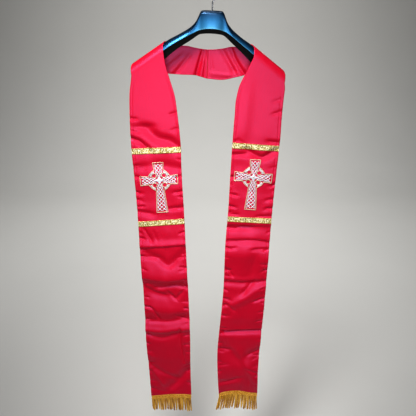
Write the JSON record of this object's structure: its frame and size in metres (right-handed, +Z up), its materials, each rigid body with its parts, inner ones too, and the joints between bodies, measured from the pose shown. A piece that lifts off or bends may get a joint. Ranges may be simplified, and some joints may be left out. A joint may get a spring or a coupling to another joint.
{
  "type": "clerical stole on a hanger",
  "caption": "Long red satin stole with metallic bands, ringed crosses and gold fringes, hung over the sloped arms of a broad plastic hanger with a wire hook",
  "frame": {"origin": "the inside top of the hanger's hook, where a rail would hold it", "axes": "+Z up, front of the stole towards -Y, +X to the right as seen from the front"},
  "size_m": [0.394, 0.0575, 1.2694],
  "materials": {
    "red_satin": "satin weave with a soft sheen",
    "gold_galloon": "woven metallic braid",
    "silver_embroidery": "machine embroidery in silver and gold thread",
    "gold_fringe": "twisted rayon fringe",
    "blue_plastic": "gloss",
    "bright_steel": "bright plated wire"
  },
  "bodies": {
    "root": {"stole_panel_left": "red_satin", "stole_panel_right": "red_satin", "trim_left_upper": "gold_galloon", "trim_left_lower": "gold_galloon", "trim_right_upper": "gold_galloon", "trim_right_lower": "gold_galloon", "cross_left": "silver_embroidery", "cross_right": "silver_embroidery", "fringe_left": "gold_fringe", "fringe_right": "gold_fringe", "hanger_body": "blue_plastic", "hanger_hook": "bright_steel"}
  },
  "joints": []
}
